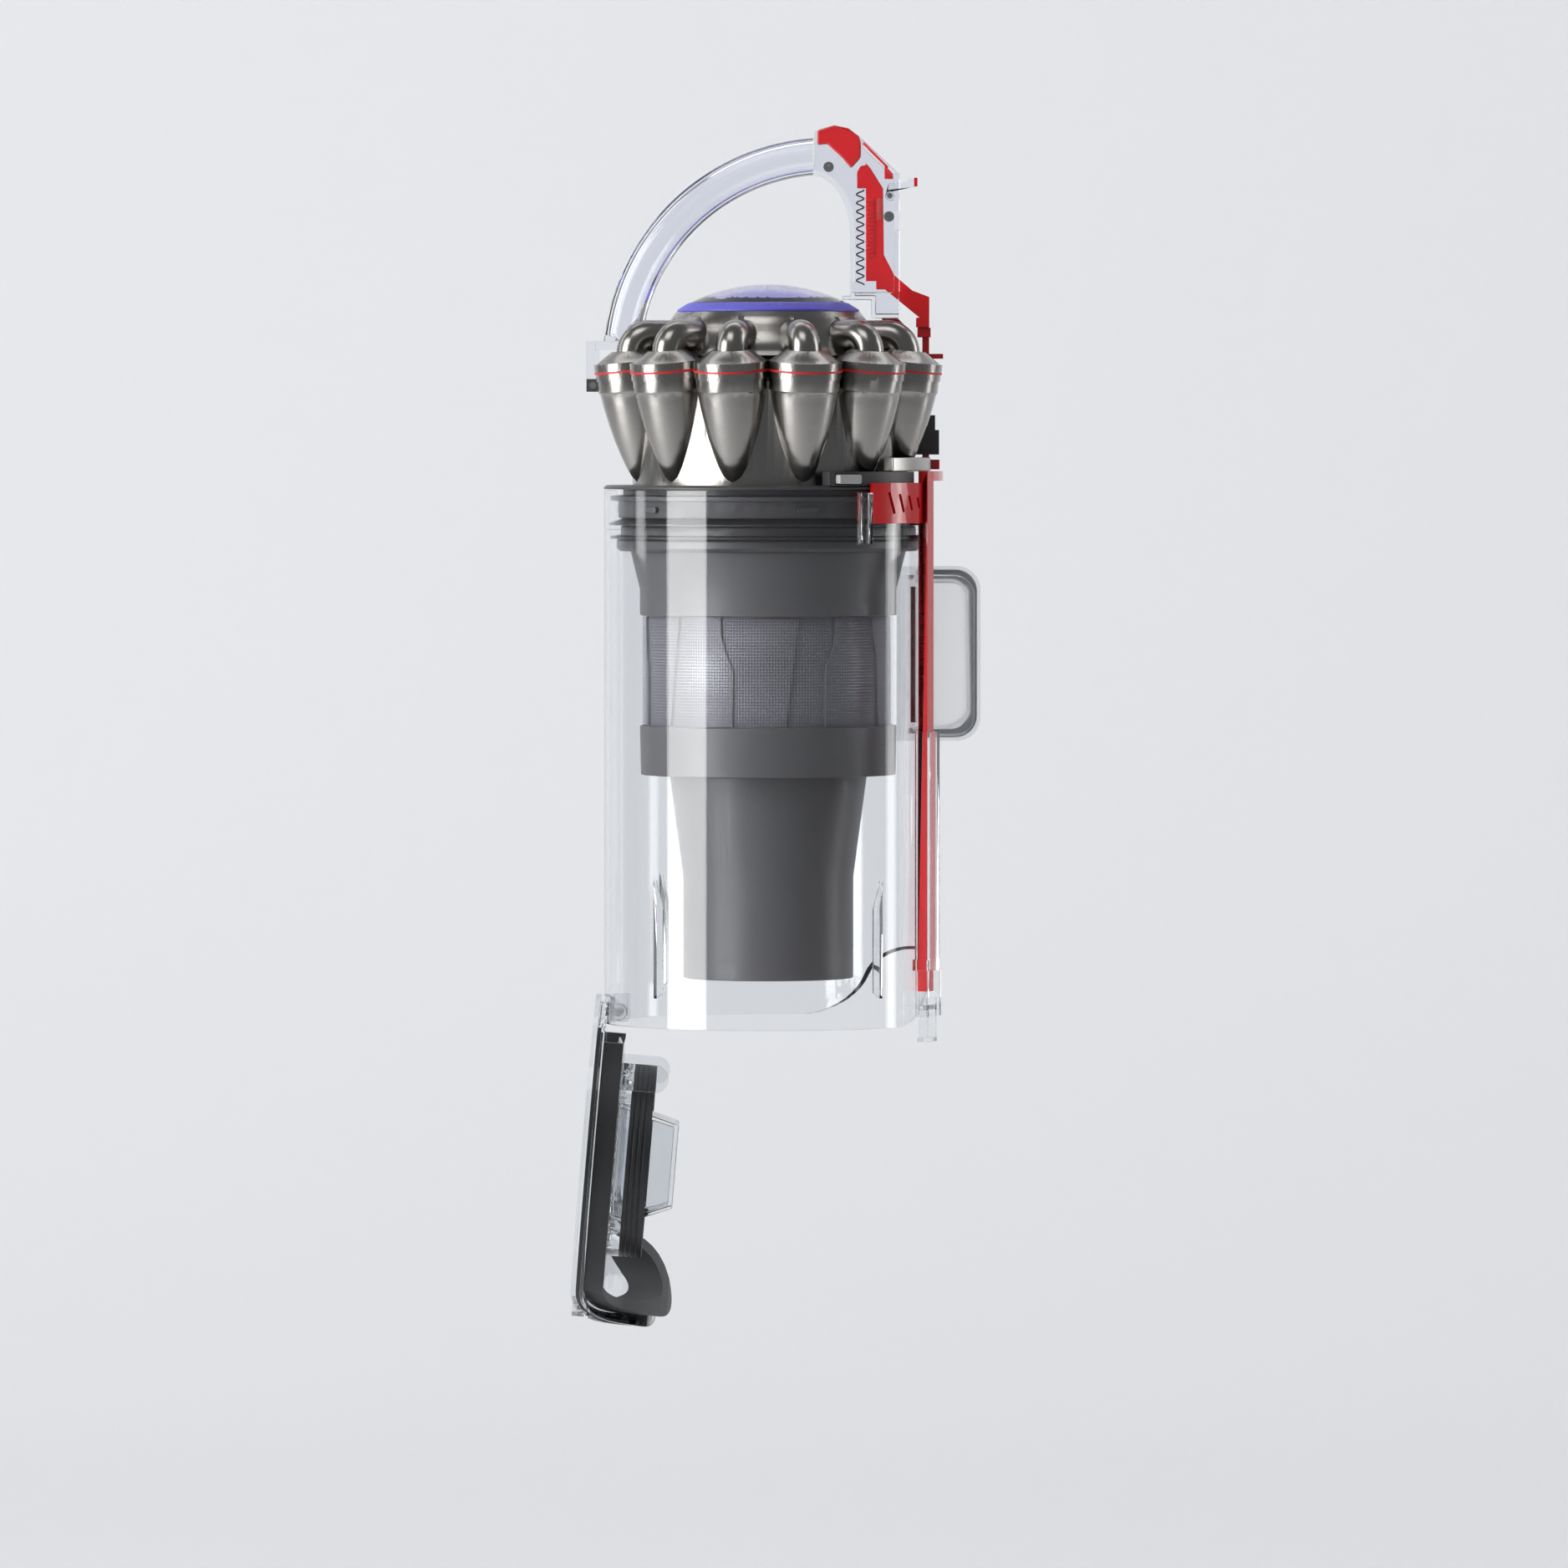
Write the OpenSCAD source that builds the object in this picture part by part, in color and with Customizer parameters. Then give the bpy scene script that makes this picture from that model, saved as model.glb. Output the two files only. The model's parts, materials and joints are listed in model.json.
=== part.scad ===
/* [Bin] */
// Outer diameter of the clear bin
bin_d = 133.6; // [120:0.1:150]
// Height of the clear bin, from its lower rim to its upper rim
bin_h = 216.6; // [195:0.1:240]
// Wall of the clear bin
bin_wall = 2.2; // [1.8:0.1:2.6]
// Height that the lower rim rises on its scooped side
scoop_rise = 32; // [28:1:36]
// Direction of the scooped side, turned from +X about Z
scoop_turn = 20; // [10:1:30]

/* [Cyclones] */
// Number of cyclone cones
cone_count = 12; // [10:1:12]
// Radius of the circle on which the cone mouths are centred
cone_ring_r = 57; // [54:0.5:62]
// Radius of a cone's mouth
cone_r = 14.3; // [12.5:0.1:14.6]
// Length of a cone, from its mouth to its tip
cone_len = 45; // [40:1:52]
// Angle by which each cone leans out
cone_tilt = 6; // [3:0.5:8]
// Wall of a cone
cone_wall = 1.5; // [1.2:0.1:1.8]
// Radius of an elbow duct on top of a cone
elbow_r = 6.4; // [5.5:0.1:7]

/* [Shroud and dust tube] */
// Radius of the shroud
shroud_r = 52.2; // [48:0.1:54]
// Height of the perforated band of the shroud
mesh_h = 44.8; // [38:0.1:50]
// Radius of the fine dust tube
tube_r = 34.6; // [30:0.1:36]
// Height of the lower end of the dust tube above the bin rim
tube_end_z = 18.3; // [18.3:0.1:22]
// Wall of the shroud, its skirt and the dust tube
shroud_wall = 2; // [1.6:0.1:2.4]

/* [Handle and trigger] */
// Radius of the handle's centre line
handle_r = 84.2; // [80:0.1:88]
// Thickness of the grip, seen from the side
grip_t = 15.5; // [14:0.1:17]
// Width of the grip, across the hand
grip_w = 21; // [18:0.5:24]
// Wall of the clear handle and of its housing
handle_wall = 2.2; // [1.8:0.1:2.6]
// Travel of the trigger
trigger_travel = 5; // [4:0.5:6]

/* [Door] */
// Height of the hinge pin's centre above the bin rim
hinge_z = 4.5; // [3.5:0.1:5.5]
// Radius of the hinge pin
hinge_pin_r = 1.5; // [1.2:0.1:1.8]
// Thickness of the door's clear shell
door_t = 5; // [4:0.1:6]
// Angle of the hanging door from its closed place
door_open = 94.8; // [90:0.1:100]

/* [Hidden] */
$fn = 64;

// Running gap between a pin and its hole, and the gap between pieces that move past each other
pin_gap = 0.05;
gap = 0.4;
// Small overlap that makes two shapes of one piece join
join = 0.05;

// Bin
bin_r = bin_d / 2;
bin_in = bin_r - bin_wall;
top_z = bin_h;

// Scoop of the lower rim: two arcs that meet at a steep angle
scoop_r1 = 23;
scoop_u1 = 34;
scoop_steep = 75;
scoop_z_mid = scoop_r1 * (1 - cos(scoop_steep));
scoop_r2 = (scoop_rise - scoop_z_mid) / (1 - cos(scoop_steep));
scoop_u2 = scoop_u1 + scoop_r1 * sin(scoop_steep) + scoop_r2 * sin(scoop_steep);
scoop_steps = 10;

// The rim line, moved out of the bin by t
function scoop_line(t) = concat(
    [[-90, -t]],
    [for (i = [0 : scoop_steps])
        let (a = scoop_steep * i / scoop_steps)
        [scoop_u1 + (scoop_r1 + t) * sin(a), scoop_r1 - (scoop_r1 + t) * cos(a)]],
    [for (i = [1 : scoop_steps])
        let (a = scoop_steep * (1 - i / scoop_steps))
        [scoop_u2 - (scoop_r2 - t) * sin(a), scoop_rise - scoop_r2 + (scoop_r2 - t) * cos(a)]],
    [[90, scoop_rise - t]]
);
function reversed(list) = [for (i = [len(list) - 1 : -1 : 0]) list[i]];

// Solid between two copies of the rim line, running right across the bin
module scoop_layer(t_in, t_out) {
    rotate([0, 0, scoop_turn]) rotate([90, 0, 0])
        linear_extrude(200, center = true)
            polygon(concat(scoop_line(t_in), reversed(scoop_line(t_out))));
}
// Everything below the rim line moved out by t
module below_scoop(t) {
    rotate([0, 0, scoop_turn]) rotate([90, 0, 0])
        linear_extrude(200, center = true)
            polygon(concat(scoop_line(t), [[90, -80], [-90, -80]]));
}
// Everything between two distances along the scooped direction
module scoop_zone(u0, u1) {
    rotate([0, 0, scoop_turn]) translate([u0, -90, -60]) cube([u1 - u0, 180, 160]);
}
// Ring between two radii
module ring(r_out, r_in, z0, z1) {
    translate([0, 0, z0]) difference() {
        cylinder(r = r_out, h = z1 - z0);
        translate([0, 0, -1]) cylinder(r = r_in, h = z1 - z0 + 2);
    }
}
// Shape turned about Z to an angle
module at_angle(a) {
    rotate([0, 0, a]) children();
}
// Curved strip of a ring, from angle a0 to angle a1
module ring_strip(r_out, r_in, z0, z1, a0, a1) {
    translate([0, 0, z0]) rotate([0, 0, a0]) rotate_extrude(angle = a1 - a0)
        translate([r_in, 0]) square([r_out - r_in, z1 - z0]);
}
// Flat bar with round ends, lying along X, of length l between its ends
module slot_2d(l, r) {
    square([l - 2 * r, 2 * r], center = true);
    for (s = [-1, 1]) translate([s * (l / 2 - r), 0]) circle(r = r);
}
// Rounded rectangle
module round_rect(w, h, r) {
    square([w - 2 * r, h], center = true);
    square([w, h - 2 * r], center = true);
    for (sx = [-1, 1]) for (sy = [-1, 1])
        translate([sx * (w / 2 - r), sy * (h / 2 - r)]) circle(r = r);
}

// Heights of the cyclone pack above the bin rim
collar_top = top_z + 2;
seat_gap = 0.4;
cap_r = bin_r;
upper_wall = bin_wall - 0.6;
step_z = top_z - 16;
shroud_top = top_z - 24.7;
band_top = shroud_top - 26.1;
band_bottom = band_top - mesh_h;
skirt_h = 20;
skirt_end = band_bottom - skirt_h;
cone_end_z = skirt_end - 41.5;
cone_mouth_r = tube_r + 5.5;

// Cyclone cones: local z = 0 at the mouth of each cone
mouth_z = collar_top + cone_len;
core_r = (cone_ring_r) * cos(180 / cone_count) + 0.15;
core_bore = 40;
rim_band = 6.4;
lip_t = 1.2;
gasket_t = 0.8;
cap_t = 3.2;
disc_r = cone_ring_r * sin(180 / cone_count) + 0.35;
cap_rise = 4.5;
cap_neck_r = 7.6;
finder_r = 5.2;
finder_l = 15;

// Elbow ducts and manifold
elbow_in = elbow_r - 1.3;
bend_r = elbow_r + 0.6;
bend_z = mouth_z + 8.5;
elbow_end_r = 40.5;
manifold_top = mouth_z + 25.3;
manifold_wall = 2;
filter_r = 31;

// Rod on the bin
rod_turn = -23;
rod_in = bin_r + 0.5;
rod_t = 4;
rod_w = 6.4;
rod_low = 14;
rod_top = top_z + 7.8;
channel_low = 22.5;
channel_top = 119;
channel_wall = 1.5;
plate_t = 2;
plate_low = top_z - 13.2;
plate_top = top_z + 3.1;
plate_a0 = -52.5;
catch_w = 5.2;
catch_z = 7.4;
catch_r = rod_in + 3;
catch_pin_r = 1;
cheek_w = 7.2;

// Inlet duct: a flat tangential passage along Y
duct_in_x = bin_r + 14.2;
duct_z0 = 119.5;
duct_z1 = 179;
duct_wall = 2.8;
duct_front = -6;
duct_end = 46;
duct_corner = 6.7;
flange_w = 3.3;
flange_t = 3;
duct_inner_x = bin_r + 0.7;

// Hinge of the door
hinge_x = -bin_r + 6.3;
eye_r = 3.3;
eye_w = 4.6;
bracket_w = 12;
relief_t = 3;
seal_gap = 0.7;
end_gap = 2.4;
end_u = 36;
boss_top = 12.4;

// Handle: one arc about a centre
handle_cx = 24.6;
handle_cz = collar_top + 49.4;
handle_top_a = 94;
lid_rise = 7.5;
foot_z = mouth_z + 9.9;
handle_hinge_x = -71.2;
handle_hinge_z = mouth_z - 4.5;
handle_pin_r = 1.3;
ear_w = 3.6;
house_y = 9;
slide_y = 5;
house_x0 = 18.9;
house_x1 = 53.2;
house_z0 = collar_top + 78.4;

// Transfer rod on the pack, in the notch between two caps
link_x0 = bin_r - 4.2;
link_x1 = bin_r - 1.4;
link_y = 1.1;
link_end_y = 2.6;
link_low = rod_top + 0.6;
link_top = collar_top + 64;

module at_cone(i) {
    rotate([0, 0, (i + 0.5) * 360 / cone_count]) translate([cone_ring_r, 0, mouth_z])
        rotate([0, cone_tilt, 0]) children();
}
// Wedge of the pack that belongs to one cone
module cone_sector(i) {
    half = 110 * tan(180 / cone_count);
    rotate([0, 0, (i + 0.5) * 360 / cone_count]) linear_extrude(600)
        polygon([[0, 0], [110, -half], [110, half]]);
}
module for_cones() {
    for (i = [0 : cone_count - 1]) at_cone(i) children();
}
// Layer of tilted discs that meet in straight valleys
module disc_layer(r, z0, z1) {
    for (i = [0 : cone_count - 1]) intersection() {
        at_cone(i) translate([0, 0, z0]) cylinder(r = r, h = z1 - z0);
        cone_sector(i);
    }
}
// Outline of one cone: a straight band, then a slender bullet; each pair is a share of the
// length below the band and a share of the radius
bullet = [[0.17, 0.93], [0.34, 0.835], [0.5, 0.725], [0.66, 0.59], [0.8, 0.455], [0.9, 0.325],
    [0.96, 0.2], [0.99, 0.1]];
function cone_profile(r, len) = concat(
    [[0, 0.1], [r, 0.1], [r, -rim_band], [r - 0.5, -rim_band - 0.6]],
    [for (b = bullet) [(r - 0.5) * b[1], -rim_band - (len - rim_band) * b[0]]],
    [[0, -len]]
);

// ---- Bin ----
module clear_bin() color("white", 0.25) {
    difference() {
        union() {
            difference() {
                translate([0, 0, -1]) cylinder(r = bin_r, h = bin_h + 1, $fn = 128);
                translate([0, 0, -2]) cylinder(r = bin_in, h = bin_h + 4, $fn = 128);
                translate([0, 0, step_z]) cylinder(r = bin_r - upper_wall, h = bin_h, $fn = 128);
            }
            for (a = [134, -134, -46]) inner_rib(a);
        }
        below_scoop(0);
        translate([bin_in - 8, duct_front + 2, duct_z0 + 2])
            cube([20, 30, duct_z1 - duct_z0 - 4]);
        translate([-bin_r - 3, -eye_w - gap, -2])
            cube([bin_wall + 5, 2 * (eye_w + gap), hinge_z + 6 + 2]);
    }
}
// Tapered stiffening rib inside the wall
module inner_rib(a) {
    at_angle(a) rotate([90, 0, 0]) linear_extrude(1.6, center = true)
        polygon([[bin_in + join, 12], [bin_in - 4, 14], [bin_in - 4, 48], [bin_in + join, 60]]);
}
module d_outline(grow) {
    x1 = duct_in_x + grow;
    z0 = duct_z0 - grow;
    z1 = duct_z1 + grow;
    r = duct_corner + grow / 2;
    translate([bin_r - 20, z0]) square([x1 - r - bin_r + 20, z1 - z0]);
    translate([bin_r - 20, z0 + r]) square([x1 - bin_r + 20, z1 - z0 - 2 * r]);
    for (z = [z0 + r, z1 - r]) translate([x1 - r, z]) circle(r = r);
}
// Outline pushed along Y from y0 to y1
module along_y(y0, y1) {
    translate([0, y1, 0]) rotate([90, 0, 0]) linear_extrude(y1 - y0) children();
}
module inlet_duct() color("white", 0.3) difference() {
    union() {
        along_y(duct_front, duct_end) d_outline(duct_wall);
        along_y(duct_end - flange_t, duct_end) d_outline(duct_wall + flange_w);
    }
    difference() {
        along_y(duct_front + 2, duct_end + 1) d_outline(0);
        translate([0, 24, duct_z0 - 5]) cube([duct_inner_x, 60, 100]);
    }
    translate([0, 0, duct_z0 - 20]) cylinder(r = bin_r, h = 120, $fn = 128);
    translate([-1, -1, duct_z0 - 20]) cube([bin_r - 11, 80, 120]);
}
module inlet_seal() color("dimgray") difference() {
    along_y(duct_end, duct_end + 2.4) d_outline(duct_wall + flange_w - 1.2);
    along_y(duct_end - 1, duct_end + 3) d_outline(0.6);
    translate([0, 0, duct_z0 - 20]) cube([duct_inner_x - 2, 80, 120]);
}
module rod_channel() color("white", 0.3) {
    side = rod_w / 2 + gap;
    out = rod_in + rod_t + gap;
    difference() {
        union() {
            at_angle(rod_turn) translate([bin_r - 3, -side - channel_wall, channel_low])
                cube([out - bin_r + 3 + channel_wall, 2 * (side + channel_wall),
                    channel_top - channel_low]);
            for (s = [-1, 1]) at_angle(rod_turn)
                translate([bin_r + 0.9, s > 0 ? catch_w + gap : -cheek_w, catch_z - 3.5])
                    cube([5.2, cheek_w - catch_w - gap, channel_low - catch_z + 8]);
            at_angle(rod_turn) translate([bin_r - 3, -cheek_w, channel_low])
                cube([9.1, 2 * cheek_w, 4.5]);
        }
        at_angle(rod_turn) translate([bin_r - 4, -side, channel_low - 1])
            cube([out - bin_r + 4, 2 * side, channel_top]);
        translate([0, 0, -1]) cylinder(r = bin_r, h = 200, $fn = 128);
        at_angle(rod_turn) translate([catch_r, 0, catch_z]) rotate([90, 0, 0])
            cylinder(r = catch_pin_r, h = 40, center = true);
    }
}
module rod_guide() color("white", 0.3) {
    low = top_z - 21.6;
    high = top_z - 0.6;
    ring_strip(bin_r + 1.2, bin_r, low, high, -57.5, -53.1);
    ring_strip(bin_r + 3.6, bin_r + 0.6, low + 0.3, high - 0.3, -57.4, -56);
    ring_strip(bin_r + 3.6, bin_r + 0.6, low + 0.3, high - 0.3, -54.4, -53.2);
}
module push_rod() color("red") {
    at_angle(rod_turn) translate([rod_in, -rod_w / 2, rod_low])
        cube([rod_t, rod_w, rod_top - rod_low]);
    difference() {
        ring_strip(rod_in + plate_t, rod_in + 0.1, plate_low, plate_top, plate_a0, rod_turn);
        for (i = [0 : 3]) at_angle(-44 + 5 * i) translate([rod_in, 0, top_z - 5])
            rotate([20, 0, 0]) rotate([0, 90, 0]) linear_extrude(20, center = true)
                slot_2d(9.5 - 1.5 * i, 0.75);
    }
    ring_strip(rod_in + rod_t - 0.2, rod_in + 0.2, rod_top - 4, rod_top - 0.1, rod_turn, 2.3);
}
module door_catch() color("white", 0.35) {
    at_angle(rod_turn) difference() {
        union() {
            for (s = [-1, 1]) translate([catch_r - 1.8, s > 0 ? rod_w / 2 + 0.5 : -catch_w, -6.4])
                cube([3.4, catch_w - rod_w / 2 - 0.5, 17.8]);
            translate([bin_r + 0.8, -catch_w, -6.4]) cube([4.5, 2 * catch_w, 1.6]);
        }
        translate([catch_r, 0, catch_z]) rotate([90, 0, 0])
            cylinder(r = catch_pin_r + pin_gap, h = 40, center = true);
    }
}
module catch_pin() color("silver") {
    at_angle(rod_turn) translate([catch_r, 0, catch_z]) rotate([90, 0, 0])
        cylinder(r = catch_pin_r, h = 2 * cheek_w, center = true);
}
module bin_hinge_bracket() color("white", 0.35) difference() {
    union() for (s = [-1, 1])
        translate([hinge_x - 3.8, s > 0 ? eye_w + gap : -bracket_w, 1])
            cube([7.6, bracket_w - eye_w - gap, 10.2]);
    difference() {
        translate([0, 0, -5]) cylinder(r = 2 * bin_r, h = 40);
        translate([0, 0, -6]) cylinder(r = bin_in, h = 42, $fn = 128);
    }
    translate([hinge_x, 0, hinge_z]) rotate([90, 0, 0])
        cylinder(r = hinge_pin_r, h = 60, center = true);
}
module hinge_pin() color("silver") translate([hinge_x, 0, hinge_z]) rotate([90, 0, 0])
    cylinder(r = hinge_pin_r, h = 2 * bracket_w, center = true);

// ---- Door, drawn closed and then turned to where it hangs ----
module hang() {
    translate([hinge_x, 0, hinge_z]) rotate([0, door_open, 0]) translate([-hinge_x, 0, -hinge_z])
        children();
}
module door_layer(t_in, t_out, r_out) {
    intersection() {
        scoop_layer(t_in, t_out);
        translate([0, 0, -40]) cylinder(r = r_out, h = 100, $fn = 128);
    }
}
module door_shell() color("white", 0.35) hang() difference() {
    union() {
        door_layer(gap, gap + door_t, bin_r);
        // lug that the catch holds
        at_angle(rod_turn) translate([bin_r - 6, -rod_w / 2, -4.4]) cube([6.4, rod_w, 5]);
    }
    translate([hinge_x - 20, -60, -relief_t]) cube([25.4, 120, relief_t + 10]);
    difference() {
        scoop_layer(1.8, 3.4);
        translate([0, 0, -60]) cylinder(r = bin_r - 3, h = 120, $fn = 128);
    }
}
module door_gasket() color("black") hang() difference() {
    door_layer(1.85, 3.35, bin_r - 0.6);
    translate([0, 0, -60]) cylinder(r = bin_r - 2.95, h = 120, $fn = 128);
    translate([hinge_x - 20, -60, -20]) cube([25.5, 120, 40]);
}
module door_rim_seal() color("black") hang() difference() {
    intersection() {
        door_layer(-7.5, gap, bin_in - seal_gap);
        scoop_zone(-90, end_u);
    }
    translate([0, 0, -60]) cylinder(r = bin_in - seal_gap - 3.7, h = 140, $fn = 128);
    translate([hinge_x - 20, -60, -20]) cube([31, 120, 60]);
}
module end_seal() color("black") hang() difference() {
    intersection() {
        door_layer(-7, gap, bin_in - end_gap);
        scoop_zone(end_u + 0.3, 90);
    }
    translate([0, 0, -60]) cylinder(r = bin_in - end_gap - 5.5, h = 140, $fn = 128);
}
module door_inner_plate() color("white", 0.35) hang() {
    difference() {
        translate([0, 0, 5]) cylinder(r = bin_in - seal_gap - 6, h = 2.6);
        below_scoop(-2);
        scoop_zone(end_u, 90);
        translate([hinge_x - 20, -60, -20]) cube([32, 120, 60]);
    }
    ring(tube_r + 4.6, tube_r - 5, 7.5, boss_top);
    for (s = [-1, 1]) translate([-36, s * 32, 6.3]) rotate([90, 0, 0])
        linear_extrude(2, center = true) {
            translate([-5.5, 0]) square([11, 15]);
            translate([0, 15]) circle(r = 5.5);
        }
}
module door_ribs() color("white", 0.35) hang() {
    for (y = [-24, -8, 8, 24]) translate([-36, y - 0.8, -gap]) cube([58, 1.6, 5 + gap]);
    for (x = [-36, 21]) translate([x, -24, -gap]) cube([1.6, 48, 5 + gap]);
}
module tube_seal() color("black") hang() difference() {
    translate([0, 0, boss_top]) cylinder(r = tube_r + 4.6, h = tube_end_z + 3.2 - boss_top, $fn = 96);
    translate([0, 0, boss_top + 3]) cylinder(r = tube_r + 2.7, h = 30, $fn = 96);
    translate([0, 0, 7]) cylinder(r = tube_r - 5, h = 30, $fn = 96);
    for (z = [14, 16.2, 18.4]) ring(tube_r + 6, tube_r + 4.2, z, z + 0.8);
}
module door_dome() color("white", 0.35) hang() difference() {
    dome_solid(0);
    dome_solid(1.8);
}
module dome_solid(w) {
    translate([0, 16 - w, 0]) rotate([90, 0, 0]) linear_extrude(32 - 2 * w)
        polygon([[-22 + w, 7.6 - w], [-22 + w, 14], [-17 + w / 2, 32.5 - w],
            [17 - w / 2, 32.5 - w], [22 - w, 20], [22 - w, 7.6 - w]]);
}
module door_hinge_eyes() color("white", 0.35) hang() difference() {
    union() {
        translate([hinge_x, 0, hinge_z]) rotate([90, 0, 0])
            cylinder(r = eye_r, h = 2 * eye_w, center = true);
        translate([hinge_x - eye_r, -eye_w, -relief_t]) cube([2 * eye_r, 2 * eye_w, hinge_z + relief_t]);
    }
    translate([hinge_x, 0, hinge_z]) rotate([90, 0, 0])
        cylinder(r = hinge_pin_r + pin_gap, h = 60, center = true);
}

// ---- Seal collar, shroud and dust tube ----
module seal_collar() color("dimgray") {
    rotate_extrude($fn = 128) polygon([
        [46, collar_top], [bin_r - 1, collar_top], [bin_r, collar_top - 0.8],
        [bin_r, top_z + seat_gap], [59, top_z + seat_gap], [59, top_z - 2],
        [bin_in - 0.4, top_z - 2.5], [bin_in - 0.4, top_z - 4.2], [61, top_z - 4.4],
        [61, top_z - 11.1], [59.2, top_z - 11.6], [59.2, top_z - 14.6],
        [60, top_z - 14.9], [60, top_z - 18.6], [61.6, top_z - 20.6],
        [61.6, top_z - 23.4], [60.4, shroud_top], [53, shroud_top],
        [53, top_z - 3], [46, top_z - 3]
    ]);
    for (a = [-140, -75, 40, 130]) at_angle(a) translate([60.9, 0, top_z - 7.8]) rotate([0, 90, 0])
        rotate([0, 0, 90]) linear_extrude(1.4) slot_2d(9, 1.2);
}
module upper_lip_seal() color("black") rotate_extrude($fn = 128) polygon([
    [59.2, top_z - 11.6], [bin_r - upper_wall - 0.2, top_z - 13.6],
    [bin_r - upper_wall - 0.2, top_z - 14.2], [59.2, top_z - 13.2]]);
module lower_lip_seal() color("black") rotate_extrude($fn = 128) polygon([
    [60, top_z - 18.2], [bin_in - 0.3, top_z - 18.8], [bin_in - 0.3, top_z - 19.6],
    [60.96, top_z - 19.8], [60, top_z - 18.6]]);
module shroud_cap() color("dimgray") rotate_extrude($fn = 128) polygon([
    [56, shroud_top], [shroud_r, shroud_top - 15.5], [shroud_r, band_top],
    [shroud_r - shroud_wall, band_top], [shroud_r - shroud_wall, shroud_top - 15.9],
    [53, shroud_top]]);
module shroud_mesh() color("lightgray", 0.5)
    ring(shroud_r - 0.6, shroud_r - 1.4, band_bottom, band_top);
module shroud_drum() color("gray") {
    ring(shroud_r - 3.4, shroud_r - 5.4, band_bottom, band_top);
    for (i = [0 : 11]) at_angle(30 * i) {
        translate([shroud_r - 3.5, -1.6, band_bottom]) cube([1.8, 3.2, mesh_h]);
        translate([shroud_r - 3.5, -4, band_bottom]) cube([1.2, 8, 16]);
    }
}
module shroud_skirt() color("dimgray") rotate_extrude($fn = 128) polygon([
    [shroud_r, band_bottom], [shroud_r - 0.4, skirt_end], [shroud_r - 2.4, skirt_end],
    [shroud_r - 2.4, band_bottom - 5], [cone_mouth_r - shroud_wall, band_bottom - 9],
    [cone_mouth_r - shroud_wall, band_bottom - 6.6], [shroud_r - 6, band_bottom]]);
module dust_tube() color("dimgray") rotate_extrude($fn = 128) polygon([
    [cone_mouth_r, band_bottom - 9.4], [cone_mouth_r, skirt_end - 0.5], [tube_r, cone_end_z],
    [tube_r, tube_end_z], [tube_r - shroud_wall, tube_end_z],
    [tube_r - shroud_wall, cone_end_z], [cone_mouth_r - shroud_wall, skirt_end - 0.5],
    [cone_mouth_r - shroud_wall, band_bottom - 9.4]]);
module collar_screws() color("silver") for (a = [0 : 120 : 240]) at_angle(a + 60)
    translate([49.5, 0, top_z - 6]) {
        translate([0, 0, 0.6]) cylinder(r = 1.2, h = 2.4);
        difference() {
            translate([0, 0, -1.4]) cylinder(r = 2.4, h = 2);
            for (t = [0, 90]) rotate([0, 0, t]) translate([-1.5, -0.3, -2]) cube([3, 0.6, 1.4]);
        }
    }

// ---- Cyclone pack ----
module cone_pack() color("slategray") difference() {
    union() {
        ring(core_r, core_bore, collar_top, mouth_z - 3);
        intersection() {
            for_cones() rotate_extrude() polygon(cone_profile(cone_r, cone_len));
            translate([0, 0, collar_top]) cylinder(r = 100, h = 80);
        }
        disc_layer(disc_r - 0.3, -1.6, lip_t);
        for (s = [-1, 1]) translate([handle_hinge_x - 2.6, s > 0 ? ear_w + gap : -ear_w - gap - 4,
            handle_hinge_z - 2.6]) cube([12, 4, 5.2]);
    }
    for_cones() rotate_extrude()
        polygon(concat([[0, 6], [cone_r - cone_wall, 6]],
            [[cone_r - cone_wall, -rim_band]],
            [[2.2, -cone_len + 7], [2.2, -cone_len - 6], [0, -cone_len - 6]]));
    translate([0, 0, collar_top - 1]) cylinder(r = core_bore, h = 60);
    translate([handle_hinge_x, 0, handle_hinge_z]) rotate([90, 0, 0])
        cylinder(r = handle_pin_r, h = 40, center = true);
}
module cap_layer(r, z0, z1) {
    difference() {
        disc_layer(r, z0, z1);
        translate([0, 0, collar_top]) cylinder(r = core_bore + 3, h = 90);
    }
}
module cone_gasket() color("red") difference() {
    cap_layer(disc_r + 0.15, lip_t, lip_t + gasket_t);
    for_cones() cylinder(r = cone_r - 4, h = 20, center = true);
}
// Outside of one cap, from the gasket up
module cap_body(low) {
    translate([0, 0, low]) cylinder(r = disc_r, h = lip_t + gasket_t + cap_t - low);
    translate([0, 0, lip_t + gasket_t + cap_t - join])
        cylinder(r1 = disc_r - 0.8, r2 = cap_neck_r, h = cap_rise);
}
// Outside of one elbow duct
module elbow_envelope() {
    translate([cone_ring_r, 0, mouth_z + 3]) cylinder(r = elbow_r, h = bend_z - mouth_z - 3);
    translate([cone_ring_r - bend_r, 0, bend_z]) rotate([90, 0, 0])
        rotate_extrude(angle = 90) translate([bend_r, 0]) circle(r = elbow_r);
    translate([core_bore - 3, 0, bend_z + bend_r]) rotate([0, 90, 0])
        cylinder(r = elbow_r, h = cone_ring_r - bend_r - core_bore + 3);
}
module cap_plate() color("slategray") difference() {
    for (i = [0 : cone_count - 1]) intersection() {
        at_cone(i) cap_body(lip_t + gasket_t);
        cone_sector(i);
    }
    translate([0, 0, collar_top]) cylinder(r = core_bore + 4, h = 90);
    for_cones() cylinder(r = finder_r + 0.6, h = 40, center = true);
    for (i = [0 : cone_count - 1]) rotate([0, 0, (i + 0.5) * 360 / cone_count]) elbow_envelope();
}
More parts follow.
